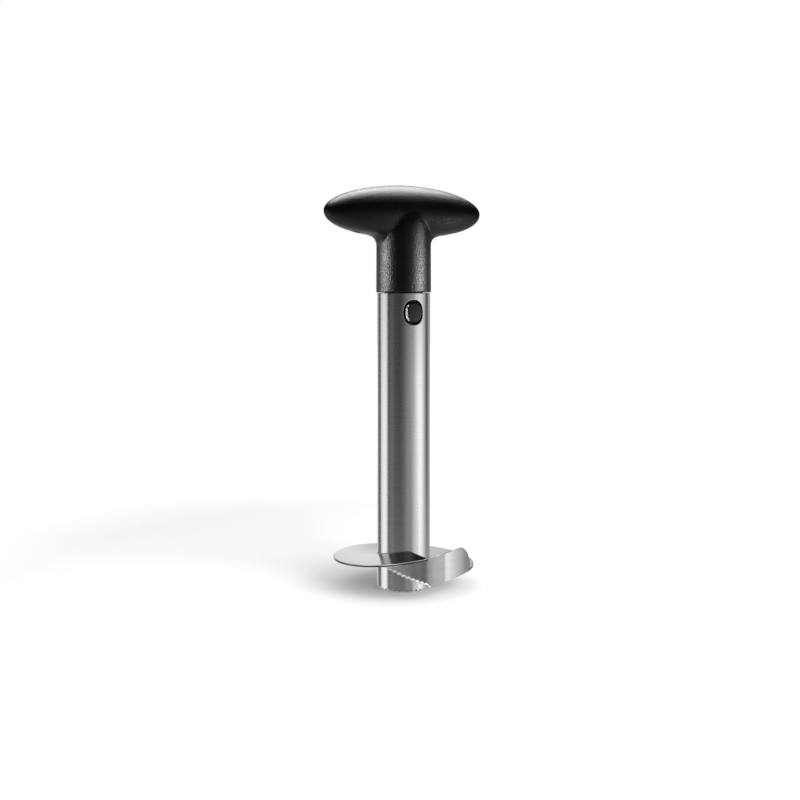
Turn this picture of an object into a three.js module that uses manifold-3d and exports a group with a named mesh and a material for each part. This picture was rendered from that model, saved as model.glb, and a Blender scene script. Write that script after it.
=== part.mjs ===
// A pineapple slicer: a toothed steel core tube that carries a one-turn slicing blade, and a black
// T grip that plugs into the tube and is held by two sprung buttons.
// Millimetres, +Z up. The origin is on the tube's axis, in the plane of the tube's tooth tips.
// The grip's bar lies along X, and the two buttons face -Y (front) and +Y (rear).

import * as THREE from 'three';
import { mergeVertices } from 'three/addons/utils/BufferGeometryUtils.js';
import Module from 'manifold-3d';

const wasm = await Module();
wasm.setup();

const degree = Math.PI / 180;
const fullTurn = 360;

// Driving dimensions of the core tube
const tubeRadius = 16;
const tubeWall = 1;
const tubeHeight = 178.1;
const tubeTeeth = 36;
const tubeToothDepth = 1.3;

// Driving dimensions of the slicing blade. Bearings are degrees from +X, counted towards +Y.
const bladeRadius = 42.6;
const sheetThickness = 1.2;
const bladeLeadBearing = -52.5;
const bladeSweep = 319;
const bladeEndSkew = 4.5;
const bladeLowHeight = 14.3;
const bladeRise = 12.1;

// How the sheet climbs at its rim and at the tube: share of the sweep, share of the rise
const rimClimbShares = [[0, 0], [0.3, 0.04], [0.53, 0.28], [0.74, 0.43], [0.89, 0.7], [1, 1]];
const hubClimbShares = [[0, 0], [0.3, 0.09], [0.53, 0.36], [0.71, 0.52], [0.89, 0.75], [1, 0.85]];

// Driving dimensions of the upright rim cutter. Angles are counted from the blade's high end.
const bandThickness = 1;
const bandStartAngle = -34;
const bandNoseAngle = 1;
const bandCrestAngle = 34;
const bandFootOverlap = 9.5;
const bandNoseHeight = 9.4;
const bandCrestAboveBlade = 2.9;
const bandTeeth = 10;
const bandToothDepth = 1.1;
const bandNoseBow = 0.85;

// Driving dimensions of the grip
const stemRadius = 16.4;
const stemFlare = 0.13;
const stemHeight = 48;
const stemEdgeRounding = 0.6;
const filletRadius = 6.5;
const filletRise = 0.9;
const barHalfLength = 50;
const barHalfWidth = 15;
const barTopHeight = 16;
const barBottomHeight = 15.2;
const gripWall = 3;
const gripWebThickness = 9.5;
const gripScrewReach = 30;

// Driving dimensions of the latch
const buttonHeightBelowStem = 11.85;
const windowHalfWidth = 6.2;
const windowHalfHeight = 7.3;
const buttonProud = 1.3;
const spigotDepth = 29;
const spigotWallAtButton = 3.6;
const flangeThickness = 2;
const flangeMargin = 1.1;
const plugThickness = 3;
const plugBlockHeight = 5;
const dividerThickness = 2;
const neckAcrossFlats = 20;
const neckLength = 26;

// Springs and fasteners
const springMeanRadius = 2.4;
const springWireRadius = 0.3;
const springTurns = 5;
const boltRadius = 2.5;
const boltHeadRadius = 4.6;
const boltHeadHeight = 3;
const boltChamfer = 1;
const boltSocketAcrossFlats = 4;
const boltSocketDepth = 1.8;
const boltEndMargin = 1;
const dividerEndMargin = 2;
const washerRadius = 5.5;
const washerThickness = 1;
const nutAcrossFlats = 8;
const nutThickness = 4;
const gripScrewRadius = 1.5;
const gripScrewHeadRadius = 2.7;
const gripScrewHeadHeight = 2.2;
const gripScrewLength = 15;
const gripBossRadius = 4.6;
const gripSeatRise = 3.3;
const plugScrewRadius = 1;
const plugScrewHeadRadius = 1.9;
const plugScrewHeadHeight = 1.4;
const plugScrewLength = 10;
const plugScrewReach = 11;

// A screw head's form, as shares of its own radius and height
const headFaceShare = 0.8;
const headEdgeShare = 0.6;
const recessHalfShare = 0.16;
const recessReachShare = 0.6;
const recessDepthShare = 0.5;

// Clearances
const seatGap = 0.3;
const slideGap = 0.2;
const windowGap = 0.4;
const pilotGap = 0.3;
const cutOverrun = 2;

// Places worked out from the driving dimensions
const boreRadius = tubeRadius - tubeWall;
const stemFoot = tubeHeight + seatGap;
const barCentre = stemFoot + stemHeight;
const buttonCentre = stemFoot - buttonHeightBelowStem;
const spigotRadius = boreRadius - slideGap;
const spigotFoot = stemFoot - spigotDepth;
const bladeEndBearing = bladeLeadBearing + bladeSweep;
const cavityHalfDepth = spigotRadius - spigotWallAtButton;
const buttonHalfWidth = windowHalfWidth - windowGap;
const buttonHalfHeight = windowHalfHeight - windowGap;
const flangeHalfWidth = buttonHalfWidth + flangeMargin;
const flangeHalfHeight = buttonHalfHeight + flangeMargin;
const cavityHalfWidth = flangeHalfWidth + seatGap;
const cavityTop = buttonCentre + flangeHalfHeight + seatGap;
const cavityFoot = spigotFoot - cutOverrun;
const flangeFace = cavityHalfDepth - seatGap;
const flangeBack = flangeFace - flangeThickness;
const dividerHalf = dividerThickness / 2;
const gripFloor = barCentre - barBottomHeight + gripWall;
const socketTop = gripFloor - gripWebThickness;

// Materials
const brushedSteel = new THREE.MeshStandardMaterial({ color: 0xb9b9bc, roughness: 0.3, metalness: 1 });
const satinSteel = new THREE.MeshStandardMaterial({ color: 0xc9c8cd, roughness: 0.35, metalness: 1 });
const zincSteel = new THREE.MeshStandardMaterial({ color: 0xa9abae, roughness: 0.4, metalness: 1 });
const blackSteel = new THREE.MeshStandardMaterial({ color: 0x202022, roughness: 0.45, metalness: 1 });
const grainedBlack = new THREE.MeshStandardMaterial({ color: 0x1b1b1d, roughness: 0.55, metalness: 0 });
const smoothBlack = new THREE.MeshStandardMaterial({ color: 0x222224, roughness: 0.4, metalness: 0 });

// Geometry from points and triangles, with its faces turned outwards
function geometryOf(points, triangles) {
  let volume = 0;
  for (const [a, b, c] of triangles) {
    volume += points[a].dot(new THREE.Vector3().crossVectors(points[b], points[c]));
  }
  const turned = volume < 0 ? triangles.map(([a, b, c]) => [a, c, b]) : triangles;
  const geometry = new THREE.BufferGeometry();
  geometry.setAttribute('position', new THREE.Float32BufferAttribute(points.flatMap((p) => p.toArray()), 3));
  geometry.setIndex(turned.flat());
  geometry.computeVertexNormals();
  return geometry;
}

// Joins two loops of equally many points with a band of triangles
function bandBetween(first, second, count, triangles) {
  for (let i = 0; i < count; i += 1) {
    const next = (i + 1) % count;
    triangles.push([first + i, first + next, second + next], [first + i, second + next, second + i]);
  }
}

// A body lofted through loops that are stacked from bottom to top and are star-shaped round Z
function loftedBody(loops) {
  const count = loops[0].length;
  const points = loops.flat();
  const triangles = [];
  for (let level = 0; level + 1 < loops.length; level += 1) {
    bandBetween(level * count, (level + 1) * count, count, triangles);
  }
  const foot = points.push(new THREE.Vector3(0, 0, loops[0][0].z)) - 1;
  const head = points.push(new THREE.Vector3(0, 0, loops.at(-1)[0].z)) - 1;
  const last = (loops.length - 1) * count;
  for (let i = 0; i < count; i += 1) {
    const next = (i + 1) % count;
    triangles.push([foot, next, i], [head, last + i, last + next]);
  }
  return geometryOf(points, triangles);
}

// A body that runs round the axis as a chain of four-cornered sections, closed on itself or with two ends
function sheetBody(sections, closed) {
  const corners = sections[0].length;
  const points = sections.flat();
  const triangles = [];
  const runs = closed ? sections.length : sections.length - 1;
  for (let i = 0; i < runs; i += 1) {
    bandBetween(i * corners, ((i + 1) % sections.length) * corners, corners, triangles);
  }
  if (!closed) {
    const end = (sections.length - 1) * corners;
    triangles.push([0, 2, 1], [0, 3, 2], [end, end + 1, end + 2], [end, end + 2, end + 3]);
  }
  return geometryOf(points, triangles);
}

// A point at a bearing, a distance from the axis and a height
function polar(bearing, radius, height) {
  return new THREE.Vector3(radius * Math.cos(bearing * degree), radius * Math.sin(bearing * degree), height);
}

// One section of an upright sheet, between two radii and two heights
function section(bearing, inner, outer, foot, head) {
  return [
    polar(bearing, inner, foot),
    polar(bearing, outer, foot),
    polar(bearing, outer, head),
    polar(bearing, inner, head),
  ];
}

function solidOf(geometry) {
  const bare = geometry.clone();
  bare.deleteAttribute('normal');
  bare.deleteAttribute('uv');
  const merged = mergeVertices(bare);
  const index = merged.index.array;
  const kept = [];
  for (let i = 0; i < index.length; i += 3) {
    const [a, b, c] = [index[i], index[i + 1], index[i + 2]];
    if (a !== b && b !== c && c !== a) kept.push(a, b, c);
  }
  const vertProperties = new Float32Array(merged.attributes.position.array);
  return new wasm.Manifold(new wasm.Mesh({ numProp: 3, vertProperties, triVerts: new Uint32Array(kept) }));
}

function geometryFrom(solid) {
  const mesh = solid.getMesh();
  const geometry = new THREE.BufferGeometry();
  geometry.setAttribute('position', new THREE.BufferAttribute(mesh.vertProperties, mesh.numProp));
  geometry.setIndex(new THREE.BufferAttribute(mesh.triVerts, 1));
  geometry.computeVertexNormals();
  return geometry;
}

// An upright round bar from one height to another, centred on x, y
function upright(radius, foot, head, sides, x = 0, y = 0) {
  const geometry = new THREE.CylinderGeometry(radius, radius, head - foot, sides);
  geometry.rotateX(Math.PI / 2);
  geometry.translate(x, y, (foot + head) / 2);
  return solidOf(geometry);
}

// An upright hexagonal bar, with its flats facing +-Y
function hexagon(acrossFlats, foot, head) {
  const sides = 6;
  return upright(acrossFlats / 2 / Math.cos(Math.PI / sides), foot, head, sides);
}

// A box from its lowest to its highest corner
function block(low, high) {
  const geometry = new THREE.BoxGeometry(high[0] - low[0], high[1] - low[1], high[2] - low[2]);
  geometry.translate((low[0] + high[0]) / 2, (low[1] + high[1]) / 2, (low[2] + high[2]) / 2);
  return solidOf(geometry);
}

// A body of revolution about a vertical axis, from a profile of radius and height that starts and ends on it
function turned(profile, sides, x = 0) {
  const geometry = new THREE.LatheGeometry(profile.map(([r, z]) => new THREE.Vector2(r, z)), sides);
  geometry.rotateX(Math.PI / 2);
  geometry.translate(x, 0, 0);
  return solidOf(geometry);
}

// The oval of the button and of its windows, as an outline in X and Z
const ovalPower = 2.3;
const ovalSteps = 32;

function oval(halfWidth, halfHeight) {
  const points = [];
  for (let i = 0; i < ovalSteps; i += 1) {
    const angle = (i / ovalSteps) * fullTurn * degree;
    const across = Math.sign(Math.cos(angle)) * Math.abs(Math.cos(angle)) ** (2 / ovalPower);
    const up = Math.sign(Math.sin(angle)) * Math.abs(Math.sin(angle)) ** (2 / ovalPower);
    points.push(new THREE.Vector2(halfWidth * across, halfHeight * up));
  }
  return points;
}

// An oval bar along Y, centred on the buttons' height, from one y to another
function ovalBar(halfWidth, halfHeight, near, far) {
  const shape = new THREE.Shape(oval(halfWidth, halfHeight));
  const geometry = new THREE.ExtrudeGeometry(shape, { depth: far - near, bevelEnabled: false });
  geometry.rotateX(Math.PI / 2);
  geometry.translate(0, far, buttonCentre);
  return solidOf(geometry);
}

// The core tube, with its toothed mouth and the two button windows
const toothProfile = [[0, 0], [0.2, 0], [0.4, 0.75], [0.6, 1], [0.8, 0.75]];

function makeTube() {
  const sections = [];
  for (let tooth = 0; tooth < tubeTeeth; tooth += 1) {
    for (const [share, depthShare] of toothProfile) {
      const bearing = ((tooth + share) / tubeTeeth) * fullTurn;
      const foot = depthShare * tubeToothDepth;
      sections.push(section(bearing, boreRadius, tubeRadius, foot, tubeHeight));
    }
  }
  const reach = tubeRadius + cutOverrun;
  const windows = ovalBar(windowHalfWidth, windowHalfHeight, -reach, reach);
  return geometryFrom(solidOf(sheetBody(sections, true)).subtract(windows));
}

// The slicing blade: one sheet that climbs almost a full turn round the tube
const rimClimb = new THREE.SplineCurve(rimClimbShares.map(([s, h]) => new THREE.Vector2(s, h)));
const hubClimb = new THREE.SplineCurve(hubClimbShares.map(([s, h]) => new THREE.Vector2(s, h)));
const climbSamples = 400;
const rimClimbPoints = rimClimb.getPoints(climbSamples);
const hubClimbPoints = hubClimb.getPoints(climbSamples);

// The height share at a share of the sweep, read off the sampled climb
function climbAt(points, share) {
  const after = points.findIndex((p) => p.x >= share);
  if (after <= 0) return points[after === 0 ? 0 : points.length - 1].y;
  const before = points[after - 1];
  const part = (share - before.x) / (points[after].x - before.x);
  return before.y + part * (points[after].y - before.y);
}

// The blade's upper surface at its rim, for an angle counted from its high end
function rimHeight(angleFromEnd) {
  const share = (bladeSweep + angleFromEnd) / bladeSweep;
  return bladeLowHeight + bladeRise * climbAt(rimClimbPoints, share);
}

const bladeSteps = 116;

function makeBlade() {
  const sections = [];
  const hubRadius = tubeRadius + seatGap;
  for (let i = 0; i <= bladeSteps; i += 1) {
    const share = i / bladeSteps;
    const rimBearing = bladeLeadBearing + share * bladeSweep;
    const hubBearing = rimBearing - share * bladeEndSkew;
    const hub = bladeLowHeight + bladeRise * climbAt(hubClimbPoints, share);
    const rim = bladeLowHeight + bladeRise * climbAt(rimClimbPoints, share);
    sections.push([
      polar(hubBearing, hubRadius, hub - sheetThickness),
      polar(rimBearing, bladeRadius, rim - sheetThickness),
      polar(rimBearing, bladeRadius, rim),
      polar(hubBearing, hubRadius, hub),
    ]);
  }
  return sheetBody(sections, false);
}

// The rim cutter: an upright strip that bridges the blade's two ends, toothed on its slanting nose
const gapAngle = seatGap / bladeRadius / degree;
const mouthAngle = fullTurn - bladeSweep;
const stepAngle = 0.1;
const fallPower = 1.45;

function bandHead(angle) {
  if (angle <= gapAngle) return rimHeight(angle) - sheetThickness - seatGap;
  const start = rimHeight(0);
  const crest = start + bandCrestAboveBlade;
  if (angle <= bandCrestAngle) {
    return start + bandCrestAboveBlade * Math.sin((angle / bandCrestAngle) * Math.PI / 2);
  }
  const foot = bladeLowHeight + seatGap + sheetThickness;
  const fall = (angle - bandCrestAngle) / (mouthAngle + bandFootOverlap - bandCrestAngle);
  return foot + (crest - foot) * (1 - fall ** fallPower) ** (1 / fallPower);
}

function bandFoot(angle) {
  const noseRoot = bandHead(bandStartAngle) - seatGap;
  const leadUnderside = bladeLowHeight - sheetThickness;
  if (angle < bandNoseAngle) {
    const share = (angle - bandStartAngle) / (bandNoseAngle - bandStartAngle);
    return noseRoot + (bandNoseHeight - noseRoot) * share ** bandNoseBow;
  }
  if (angle < mouthAngle - gapAngle) {
    const share = (angle - bandNoseAngle) / (mouthAngle - bandNoseAngle);
    return bandNoseHeight + (leadUnderside - bandNoseHeight) * Math.sin(share * Math.PI / 2);
  }
  return bladeLowHeight + seatGap;
}

const bandToothProfile = [[0, 0], [0.25, 0.6], [0.5, 1], [0.75, 0.6]];
const bandPlainStep = 2.5;
const bandEndShares = [0.4, 0.7, 0.9, 1];

function bandAngles() {
  const angles = [];
  const footAngle = mouthAngle + bandFootOverlap;
  for (let angle = bandNoseAngle; angle < footAngle - bandPlainStep; angle += bandPlainStep) {
    angles.push([angle, 0]);
  }
  for (const edge of [gapAngle, mouthAngle - gapAngle - stepAngle]) {
    angles.push([edge, 0], [edge + stepAngle, 0]);
  }
  for (const share of bandEndShares) angles.push([footAngle - bandPlainStep * (1 - share), 0]);
  const pitch = (bandNoseAngle - bandStartAngle) / bandTeeth;
  for (let tooth = 0; tooth < bandTeeth; tooth += 1) {
    for (const [share, depthShare] of bandToothProfile) {
      angles.push([bandStartAngle + (tooth + share) * pitch, depthShare * bandToothDepth]);
    }
  }
  return angles.sort((a, b) => a[0] - b[0]);
}

function makeBand() {
  const inner = bladeRadius - bandThickness;
  const sections = bandAngles().map(([angle, notch]) => {
    const head = bandHead(angle);
    const foot = Math.min(bandFoot(angle) + notch, head - seatGap);
    return section(bladeEndBearing + angle, inner, bladeRadius, foot, head);
  });
  return sheetBody(sections, false);
}

// The grip's outline seen from above: bearings crowd towards the bar's two tips
const gripSteps = 72;
const hollowSteps = 40;
const tipCrowding = 0.5;
const planPower = 2.2;

function gripBearings(steps) {
  const bearings = [];
  for (let i = 0; i < steps; i += 1) {
    const angle = (i / steps) * fullTurn * degree;
    bearings.push(Math.atan2(tipCrowding * Math.sin(angle), Math.cos(angle)));
  }
  return bearings;
}

// Distance from the axis to a superellipse outline on a bearing
function outlineReach(bearing, halfLength, halfWidth, power) {
  const across = Math.abs(Math.cos(bearing)) / halfLength;
  const along = Math.abs(Math.sin(bearing)) / halfWidth;
  return (across ** power + along ** power) ** (-1 / power);
}

function gripLoop(z, reach, steps = gripSteps) {
  return gripBearings(steps).map((bearing) => {
    const r = reach(bearing);
    return new THREE.Vector3(r * Math.cos(bearing), r * Math.sin(bearing), z);
  });
}

// Share of the full outline that a rounded bar reaches at a share of its height
function roundShare(heightShare, power) {
  return (1 - Math.min(1, heightShare) ** power) ** (1 / power);
}

const edgeShare = 1 - Math.SQRT1_2;
const undersidePower = 2.2;
const undersideShares = [0.9, 0.83, 0.75, 0.66, 0.56, 0.45, 0.32, 0.16];
const filletAngles = [0, 20, 38, 54, 68];
const domePower = 1.9;
const domeShares = [0, 0.16, 0.32, 0.47, 0.61, 0.73, 0.83, 0.91, 0.96, 0.99];

// A level of the lower shell: the stem's circle drawn out towards the bar's outline
function drawnOut(z, reachAlongBar) {
  const share = (reachAlongBar - stemRadius) / (barHalfLength - stemRadius);
  return gripLoop(z, (bearing) => {
    const full = outlineReach(bearing, barHalfLength, barHalfWidth, planPower);
    return stemRadius + share * (full - stemRadius);
  });
}

function lowerShellOutside(seam) {
  const footRadius = stemRadius + stemFlare;
  const filletFoot = barCentre - barBottomHeight + filletRise - filletRadius;
  const loops = [
    gripLoop(stemFoot, () => footRadius - stemEdgeRounding),
    gripLoop(stemFoot + stemEdgeRounding * edgeShare, () => footRadius - stemEdgeRounding * edgeShare),
    gripLoop(stemFoot + stemEdgeRounding, () => footRadius),
  ];
  for (const angle of filletAngles) {
    const z = filletFoot + filletRadius * Math.sin(angle * degree);
    loops.push(drawnOut(z, stemRadius + filletRadius * (1 - Math.cos(angle * degree))));
  }
  for (const share of undersideShares) {
    const z = barCentre - share * barBottomHeight;
    loops.push(drawnOut(z, barHalfLength * roundShare(share, undersidePower)));
  }
  loops.push(drawnOut(seam, barHalfLength));
  return solidOf(loftedBody(loops));
}

// Half of a rounded hollow inside the bar, from the seam down or up
function barHollow(height, direction, sill) {
  const loops = domeShares.map((share) => {
    const scale = roundShare(share, domePower);
    const z = barCentre + direction * share * height;
    return gripLoop(z, (bearing) => (
      scale * outlineReach(bearing, barHalfLength - gripWall, barHalfWidth - gripWall, planPower)
    ), hollowSteps);
  });
  loops.unshift(loops[0].map((p) => new THREE.Vector3(p.x, p.y, sill)));
  return solidOf(loftedBody(direction > 0 ? loops : loops.reverse()));
}

const boltSides = 20;
const screwSides = 14;
const bossSides = 20;

function makeLowerShell() {
  const seam = barCentre - seatGap / 2;
  let shell = lowerShellOutside(seam);
  let hollow = barHollow(barBottomHeight - gripWall, -1, barCentre + cutOverrun);
  for (const x of [-gripScrewReach, gripScrewReach]) {
    hollow = hollow.subtract(upright(gripBossRadius, stemFoot, seam, bossSides, x));
  }
  shell = shell.subtract(hollow);
  shell = shell.subtract(upright(washerRadius + windowGap, gripFloor, barCentre, bossSides));
  shell = shell.subtract(hexagon(neckAcrossFlats + 2 * seatGap, stemFoot - cutOverrun, socketTop));
  shell = shell.subtract(upright(boltRadius + windowGap, stemFoot, barCentre, boltSides));
  const seat = gripScrewSeat();
  for (const x of [-gripScrewReach, gripScrewReach]) {
    shell = shell.subtract(upright(gripScrewHeadRadius + seatGap, stemFoot, seat, screwSides, x));
    shell = shell.subtract(upright(gripScrewRadius + pilotGap, stemFoot, barCentre, screwSides, x));
  }
  return geometryFrom(shell);
}

// Height of the shoulder that the grip screws' heads pull against
function gripScrewSeat() {
  const lengthShare = gripScrewReach / barHalfLength;
  const underside = barCentre - barBottomHeight * roundShare(lengthShare, undersidePower);
  return underside + gripSeatRise;
}

function makeUpperShell() {
  const seam = barCentre + seatGap / 2;
  const loops = domeShares.map((share) => {
    const scale = roundShare(share, domePower);
    return gripLoop(seam + share * (barTopHeight - seatGap / 2), (bearing) => (
      scale * outlineReach(bearing, barHalfLength, barHalfWidth, planPower)
    ));
  });
  let shell = solidOf(loftedBody(loops));
  const below = barCentre - cutOverrun;
  let hollow = barHollow(barTopHeight - gripWall, 1, below);
  for (const x of [-gripScrewReach, gripScrewReach]) {
    hollow = hollow.subtract(upright(gripBossRadius, below, barCentre + barTopHeight, bossSides, x));
  }
  shell = shell.subtract(hollow);
  const pilotTop = gripScrewSeat() + gripScrewLength;
  for (const x of [-gripScrewReach, gripScrewReach]) {
    shell = shell.subtract(upright(gripScrewRadius + pilotGap, below, pilotTop, screwSides, x));
  }
  return geometryFrom(shell);
}

// The latch spigot: plugs into the tube's bore, with a hexagonal neck that keys into the grip's stem
const spigotSides = 64;

function makeSpigot() {
  const shoulder = stemFoot - seatGap;
  const neckTop = Math.min(stemFoot + neckLength, socketTop - seatGap);
  let body = upright(spigotRadius, spigotFoot, shoulder, spigotSides);
  body = body.add(hexagon(neckAcrossFlats, shoulder - cutOverrun, neckTop));
  body = body.subtract(block(
    [-cavityHalfWidth, -cavityHalfDepth, cavityFoot],
    [cavityHalfWidth, cavityHalfDepth, cavityTop],
  ));
  const nutTop = cavityTop + nutThickness + 2 * seatGap;
  body = body.subtract(hexagon(nutAcrossFlats + 2 * seatGap, cavityTop - cutOverrun, nutTop));
  body = body.subtract(upright(boltRadius + windowGap, cavityTop, neckTop + cutOverrun, boltSides));
  const reach = spigotRadius + cutOverrun;
  body = body.subtract(ovalBar(buttonHalfWidth + seatGap, buttonHalfHeight + seatGap, -reach, reach));
  const pilotTop = spigotFoot + plugScrewLength;
  for (const x of [-plugScrewReach, plugScrewReach]) {
    body = body.subtract(upright(plugScrewRadius + pilotGap, cavityFoot, pilotTop, screwSides, x));
  }
  return geometryFrom(body);
}

// The end plug: closes the spigot from below and parts the two springs
const springStubRadius = springMeanRadius - springWireRadius - seatGap;
const springStubLength = 1;

function makePlug() {
  const top = spigotFoot - seatGap;
  const foot = top - plugThickness;
  const fit = seatGap;
  let body = upright(spigotRadius, foot, top, spigotSides);
  body = body.add(block(
    [-cavityHalfWidth + fit, -cavityHalfDepth + fit, top - fit],
    [cavityHalfWidth - fit, cavityHalfDepth - fit, top + plugBlockHeight],
  ));
  body = body.add(block(
    [-cavityHalfWidth + fit, -dividerHalf, top],
    [cavityHalfWidth - fit, dividerHalf, buttonCentre + springMeanRadius + dividerEndMargin],
  ));
  const stubReach = dividerHalf + springStubLength;
  const stub = new THREE.CylinderGeometry(springStubRadius, springStubRadius, 2 * stubReach, screwSides);
  stub.translate(0, 0, buttonCentre);
  body = body.add(solidOf(stub));
  for (const x of [-plugScrewReach, plugScrewReach]) {
    const headRoom = foot + plugScrewHeadHeight + seatGap;
    body = body.subtract(upright(plugScrewHeadRadius + seatGap, foot - cutOverrun, headRoom, screwSides, x));
    body = body.subtract(upright(plugScrewRadius + pilotGap, foot, top + cutOverrun, screwSides, x));
  }
  return geometryFrom(body);
}

// A latch button for the front side, its face domed to follow the tube
const faceRounding = 0.9;
const faceRings = [[1, 0], [0.45, 0.2], [0.12, 0.55], [0, 1]];

function makeFrontButton() {
  const face = tubeRadius + buttonProud;
  const loops = faceRings.map(([depthShare, insetShare]) => {
    const inset = insetShare * faceRounding;
    const reach = face - depthShare * faceRounding;
    const outline = oval(buttonHalfWidth - inset, buttonHalfHeight - inset);
    return outline.map((p) => new THREE.Vector3(p.x, p.y, reach));
  });
  loops.unshift(loops[0].map((p) => new THREE.Vector3(p.x, p.y, flangeBack + seatGap)));
  const head = loftedBody(loops);
  head.rotateX(Math.PI / 2);
  head.translate(0, 0, buttonCentre);
  let body = solidOf(head);
  body = body.add(block(
    [-flangeHalfWidth, -flangeFace, buttonCentre - flangeHalfHeight],
    [flangeHalfWidth, -flangeBack, buttonCentre + flangeHalfHeight],
  ));
  const stubLength = 2 * springStubLength;
  const stub = new THREE.CylinderGeometry(springStubRadius, springStubRadius, stubLength, screwSides);
  stub.translate(0, -flangeBack, buttonCentre);
  return body.add(solidOf(stub));
}

// A spring coil along -Y, from the divider to the button's back
class Coil extends THREE.Curve {
  getPoint(share, target = new THREE.Vector3()) {
    const near = dividerHalf + seatGap + springWireRadius;
    const far = flangeBack - seatGap - springWireRadius;
    const angle = share * springTurns * fullTurn * degree;
    const x = springMeanRadius * Math.cos(angle);
    const z = buttonCentre + springMeanRadius * Math.sin(angle);
    return target.set(x, -near - share * (far - near), z);
  }
}

const stepsPerCurl = 8;
const wireSides = 5;

function makeSpring() {
  const wire = new THREE.Shape();
  for (let i = 0; i < wireSides; i += 1) {
    const angle = (i / wireSides) * fullTurn * degree;
    const corner = [springWireRadius * Math.cos(angle), springWireRadius * Math.sin(angle)];
    if (i === 0) wire.moveTo(...corner);
    else wire.lineTo(...corner);
  }
  wire.closePath();
  const steps = stepsPerCurl * springTurns;
  const coil = new THREE.ExtrudeGeometry(wire, { steps, bevelEnabled: false, extrudePath: new Coil() });
  return geometryFrom(solidOf(coil));
}

// Half a turn about Z, which takes a front piece to the rear
function turnedRound(geometry) {
  const copy = geometry.clone();
  copy.rotateZ(Math.PI);
  return copy;
}

// The bolt that clamps the spigot to the grip, its washer and its nut
function makeBolt() {
  const seat = gripFloor + washerThickness + 2 * seatGap;
  const head = seat + boltHeadHeight;
  const end = cavityTop - boltEndMargin;
  const body = turned([
    [0, end], [boltRadius - boltChamfer / 2, end], [boltRadius, end + boltChamfer], [boltRadius, seat],
    [boltHeadRadius, seat], [boltHeadRadius, head - boltChamfer],
    [boltHeadRadius - boltChamfer, head], [0, head],
  ], boltSides);
  const socket = hexagon(boltSocketAcrossFlats, head - boltSocketDepth, head + cutOverrun);
  return geometryFrom(body.subtract(socket));
}

function makeWasher() {
  const foot = gripFloor + seatGap;
  const disc = upright(washerRadius, foot, foot + washerThickness, bossSides);
  const hole = upright(boltRadius + pilotGap, foot - cutOverrun, foot + cutOverrun, bossSides);
  return geometryFrom(disc.subtract(hole));
}

function makeNut() {
  const foot = cavityTop + seatGap;
  const head = foot + nutThickness;
  const hole = upright(boltRadius + pilotGap, foot - cutOverrun, head + cutOverrun, boltSides);
  return geometryFrom(hexagon(nutAcrossFlats, foot, head).subtract(hole));
}

// A screw that is driven upwards, with a cross recess in its head
function makeScrew(radius, headRadius, headHeight, length, seat, x) {
  const tip = seat + length - 2 * seatGap;
  const face = seat - headHeight;
  const body = turned([
    [0, face], [headRadius * headFaceShare, face], [headRadius, seat - headHeight * headEdgeShare],
    [headRadius, seat], [radius, seat], [radius, tip - radius], [0, tip],
  ], screwSides, x);
  const slotHalf = headRadius * recessHalfShare;
  const slotReach = headRadius * recessReachShare;
  const slotTop = face + headHeight * recessDepthShare;
  const slotFoot = face - cutOverrun;
  const cross = block([x - slotHalf, -slotReach, slotFoot], [x + slotHalf, slotReach, slotTop])
    .add(block([x - slotReach, -slotHalf, slotFoot], [x + slotReach, slotHalf, slotTop]));
  return geometryFrom(body.subtract(cross));
}

function makeGripScrew(x) {
  const seat = gripScrewSeat() - seatGap;
  return makeScrew(gripScrewRadius, gripScrewHeadRadius, gripScrewHeadHeight, gripScrewLength, seat, x);
}

function makePlugScrew(x) {
  const seat = spigotFoot - seatGap - plugThickness + plugScrewHeadHeight;
  return makeScrew(plugScrewRadius, plugScrewHeadRadius, plugScrewHeadHeight, plugScrewLength, seat, x);
}

// The assembly
const slicer = new THREE.Group();
slicer.name = 'pineapple_slicer';

function addPiece(name, geometry, material) {
  const mesh = new THREE.Mesh(geometry, material);
  mesh.name = name;
  slicer.add(mesh);
}

const frontButton = geometryFrom(makeFrontButton());
const frontSpring = makeSpring();

addPiece('core_tube', makeTube(), brushedSteel);
addPiece('ring_blade', makeBlade(), satinSteel);
addPiece('rim_cutter', makeBand(), satinSteel);
addPiece('grip_lower_shell', makeLowerShell(), grainedBlack);
addPiece('grip_upper_shell', makeUpperShell(), grainedBlack);
addPiece('grip_screw_left', makeGripScrew(-gripScrewReach), blackSteel);
addPiece('grip_screw_right', makeGripScrew(gripScrewReach), blackSteel);
addPiece('latch_spigot', makeSpigot(), smoothBlack);
addPiece('spigot_end_plug', makePlug(), smoothBlack);
addPiece('plug_screw_left', makePlugScrew(-plugScrewReach), zincSteel);
addPiece('plug_screw_right', makePlugScrew(plugScrewReach), zincSteel);
addPiece('stem_bolt', makeBolt(), zincSteel);
addPiece('bolt_washer', makeWasher(), zincSteel);
addPiece('bolt_nut', makeNut(), zincSteel);
addPiece('button_front', frontButton, smoothBlack);
addPiece('button_rear', turnedRound(frontButton), smoothBlack);
addPiece('spring_front', frontSpring, brushedSteel);
addPiece('spring_rear', turnedRound(frontSpring), brushedSteel);

export default slicer;
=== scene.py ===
"""Pineapple slicer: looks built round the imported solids.

The tool's lengths are in millimetres and turned into metres when a mesh is made, and the studio is
in metres. The frame is the solids' own: origin on the tube's axis at its tooth tips, bar along X,
and the two buttons facing -Y and +Y.
"""

from math import asin, atan2, copysign, cos, degrees, hypot, pi, radians, sin, sqrt

import bmesh
import bpy
import numpy as np
from mathutils import Matrix, Vector


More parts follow.
